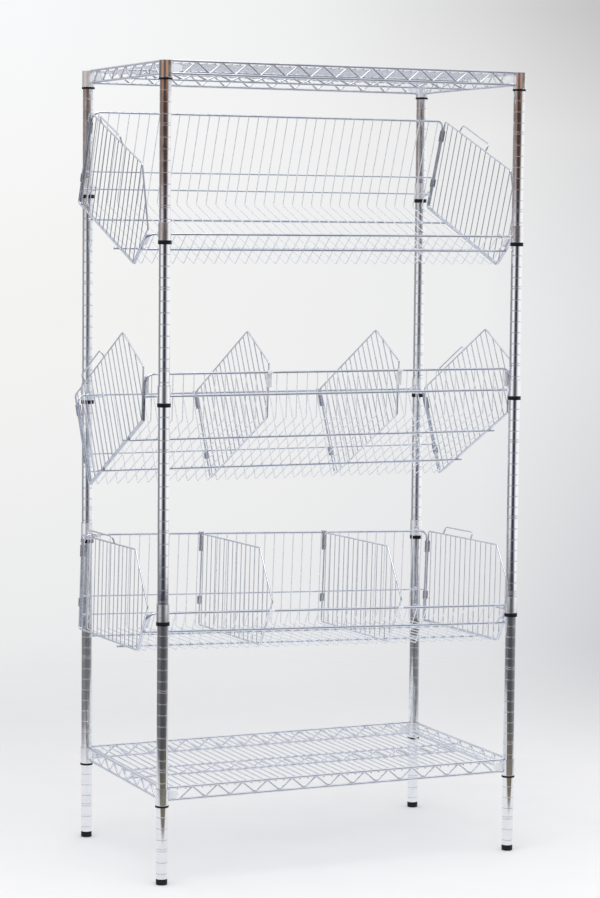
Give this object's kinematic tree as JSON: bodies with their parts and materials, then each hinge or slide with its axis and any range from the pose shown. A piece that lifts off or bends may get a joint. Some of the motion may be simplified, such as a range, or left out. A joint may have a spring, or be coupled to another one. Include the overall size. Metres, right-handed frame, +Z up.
{
  "type": "bakery bread rack",
  "caption": "Free-standing chromed wire rack on grooved tube posts, with wire shelves at top and bottom and tilted open baskets with dividers hung between them on hook collars.",
  "frame": {"origin": "on the floor, below the middle of the whole outline", "axes": "+Z up, +X to the right as seen from the front, -Y the front, where the baskets are filled from"},
  "size_m": [0.9504, 0.5284, 1.8192],
  "materials": {
    "post_chrome": "bright chrome plate on steel tube",
    "collar_chrome": "bright chrome plate on steel",
    "wire_chrome": "bright chrome plate on steel wire",
    "basket_chrome": "bright chrome plate on steel wire",
    "clip_steel": "zinc plated sheet",
    "zinc_steel": "zinc plated, satin",
    "sleeve_plastic": "moulded, slight sheen",
    "foot_plastic": "moulded, slight sheen",
    "cap_plastic": "moulded, slight sheen"
  },
  "bodies": {
    "rack": {"post_front_left": "post_chrome", "post_front_right": "post_chrome", "post_rear_left": "post_chrome", "post_rear_right": "post_chrome", "post_caps": "cap_plastic", "levelling_inserts": "zinc_steel", "top_shelf_split_sleeves": "sleeve_plastic", "top_shelf_corner_collars": "collar_chrome", "top_shelf_long_trusses": "wire_chrome", "top_shelf_end_trusses": "wire_chrome", "top_shelf_deck": "wire_chrome", "top_shelf_middle_truss": "wire_chrome", "bottom_shelf_split_sleeves": "sleeve_plastic", "bottom_shelf_corner_collars": "collar_chrome", "bottom_shelf_long_trusses": "wire_chrome", "bottom_shelf_end_trusses": "wire_chrome", "bottom_shelf_deck": "wire_chrome", "bottom_shelf_middle_truss": "wire_chrome", "upper_basket_split_sleeves": "sleeve_plastic", "upper_basket_hook_collars": "collar_chrome", "middle_basket_split_sleeves": "sleeve_plastic", "middle_basket_hook_collars": "collar_chrome", "lower_basket_split_sleeves": "sleeve_plastic", "lower_basket_hook_collars": "collar_chrome"},
    "upper_basket": {"upper_basket_back_mesh": "basket_chrome", "upper_basket_front_mesh": "basket_chrome", "upper_basket_floor_mesh": "basket_chrome", "upper_basket_left_end": "basket_chrome", "upper_basket_right_end": "basket_chrome", "upper_basket_handles": "basket_chrome", "upper_basket_end_clips": "clip_steel"},
    "middle_basket": {"middle_basket_back_mesh": "basket_chrome", "middle_basket_front_mesh": "basket_chrome", "middle_basket_floor_mesh": "basket_chrome", "middle_basket_left_end": "basket_chrome", "middle_basket_right_end": "basket_chrome", "middle_basket_handles": "basket_chrome", "middle_basket_end_clips": "clip_steel"},
    "middle_basket_left_divider": {"middle_basket_left_divider": "basket_chrome", "middle_basket_left_divider_clips": "clip_steel"},
    "middle_basket_right_divider": {"middle_basket_right_divider": "basket_chrome", "middle_basket_right_divider_clips": "clip_steel"},
    "lower_basket": {"lower_basket_back_mesh": "basket_chrome", "lower_basket_front_mesh": "basket_chrome", "lower_basket_floor_mesh": "basket_chrome", "lower_basket_left_end": "basket_chrome", "lower_basket_right_end": "basket_chrome", "lower_basket_handles": "basket_chrome", "lower_basket_end_clips": "clip_steel"},
    "lower_basket_left_divider": {"lower_basket_left_divider": "basket_chrome", "lower_basket_left_divider_clips": "clip_steel"},
    "lower_basket_right_divider": {"lower_basket_right_divider": "basket_chrome", "lower_basket_right_divider_clips": "clip_steel"},
    "levelling_foot_front_left": {"levelling_foot_front_left": "foot_plastic"},
    "levelling_foot_front_right": {"levelling_foot_front_right": "foot_plastic"},
    "levelling_foot_rear_left": {"levelling_foot_rear_left": "foot_plastic"},
    "levelling_foot_rear_right": {"levelling_foot_rear_right": "foot_plastic"}
  },
  "joints": [
    {"name": "upper_basket_lift", "type": "slide", "parent": "rack", "child": "upper_basket", "axis": [0, 0, 1], "range_m": [0, 0.03]},
    {"name": "middle_basket_lift", "type": "slide", "parent": "rack", "child": "middle_basket", "axis": [0, 0, 1], "range_m": [0, 0.03]},
    {"name": "lower_basket_lift", "type": "slide", "parent": "rack", "child": "lower_basket", "axis": [0, 0, 1], "range_m": [0, 0.03]},
    {"name": "middle_basket_left_divider_slide", "type": "slide", "parent": "middle_basket", "child": "middle_basket_left_divider", "axis": [1, 0, 0], "range_m": [-0.23, 0.13]},
    {"name": "middle_basket_right_divider_slide", "type": "slide", "parent": "middle_basket", "child": "middle_basket_right_divider", "axis": [1, 0, 0], "range_m": [-0.13, 0.23]},
    {"name": "lower_basket_left_divider_slide", "type": "slide", "parent": "lower_basket", "child": "lower_basket_left_divider", "axis": [0.9996, 0, -0.03], "range_m": [-0.23, 0.13]},
    {"name": "lower_basket_right_divider_slide", "type": "slide", "parent": "lower_basket", "child": "lower_basket_right_divider", "axis": [0.9996, 0, -0.03], "range_m": [-0.13, 0.23]},
    {"name": "levelling_foot_front_left_screw", "type": "slide", "parent": "rack", "child": "levelling_foot_front_left", "axis": [0, 0, -1], "range_m": [0, 0.016]},
    {"name": "levelling_foot_front_right_screw", "type": "slide", "parent": "rack", "child": "levelling_foot_front_right", "axis": [0, 0, -1], "range_m": [0, 0.016]},
    {"name": "levelling_foot_rear_left_screw", "type": "slide", "parent": "rack", "child": "levelling_foot_rear_left", "axis": [0, 0, -1], "range_m": [0, 0.016]},
    {"name": "levelling_foot_rear_right_screw", "type": "slide", "parent": "rack", "child": "levelling_foot_rear_right", "axis": [0, 0, -1], "range_m": [0, 0.016]}
  ]
}
